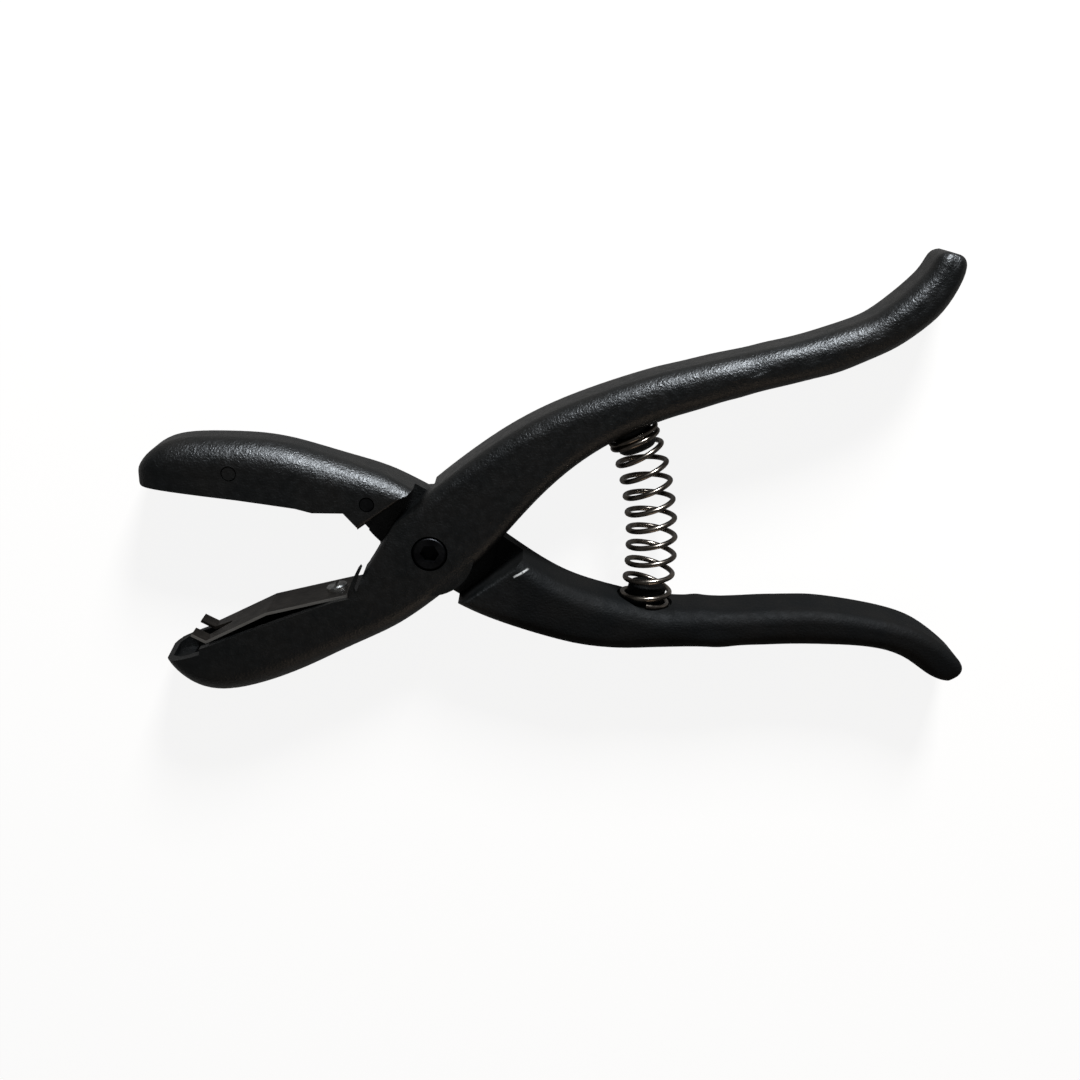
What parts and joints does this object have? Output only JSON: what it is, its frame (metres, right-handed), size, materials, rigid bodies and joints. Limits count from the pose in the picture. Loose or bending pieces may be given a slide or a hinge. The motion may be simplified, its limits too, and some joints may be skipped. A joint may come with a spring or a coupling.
{
  "type": "ear tag applicator",
  "caption": "Plier-type livestock ear tag applicator with lapped cast levers, a folding pin, a forked tag clip and a bowed return spring.",
  "frame": {"origin": "on the side that the tool lies on, under the middle of the whole tool", "axes": "+X from the jaws to the handle ends, +Y in the plane of the levers from the lower to the upper handle, +Z along the pivot axis towards the screw head"},
  "size_m": [0.2471, 0.1325, 0.0224],
  "materials": {
    "black_casting": "grainy black paint on cast aluminium",
    "black_steel": "black oxide",
    "plain_steel": "bright",
    "zinc_steel": "zinc plated",
    "nylon": "matte",
    "spring_wire": "drawn wire",
    "clip_steel": "oiled spring steel"
  },
  "bodies": {
    "front_half": {"front_lever": "black_casting", "tag_clip": "clip_steel", "clip_screw": "zinc_steel", "return_spring": "spring_wire"},
    "rear_half": {"rear_lever": "black_casting", "pivot_screw": "black_steel", "pivot_bush": "plain_steel", "lap_washer": "plain_steel", "pivot_nut": "zinc_steel", "nut_ring": "nylon", "front_cross_pin": "black_steel", "rear_cross_pin": "black_steel", "detent_leaf": "clip_steel", "upper_leaf_sleeve": "plain_steel", "lower_leaf_sleeve": "plain_steel"},
    "folding_pin": {"pin_carrier": "plain_steel", "applicator_pin": "plain_steel"}
  },
  "joints": [
    {"name": "lever_pivot", "type": "hinge", "parent": "front_half", "child": "rear_half", "pos_m": [-0.0384, -0.0204, 0.0112], "axis": [0, 0, 1], "range_deg": [0, 24], "stiffness_Nm_per_rad": 8, "deforming": ["return_spring"]},
    {"name": "pin_flip", "type": "hinge", "parent": "rear_half", "child": "folding_pin", "pos_m": [-0.0959, 0.0039, 0.0112], "axis": [0, 0, -1], "range_deg": [0, 113.6]}
  ]
}
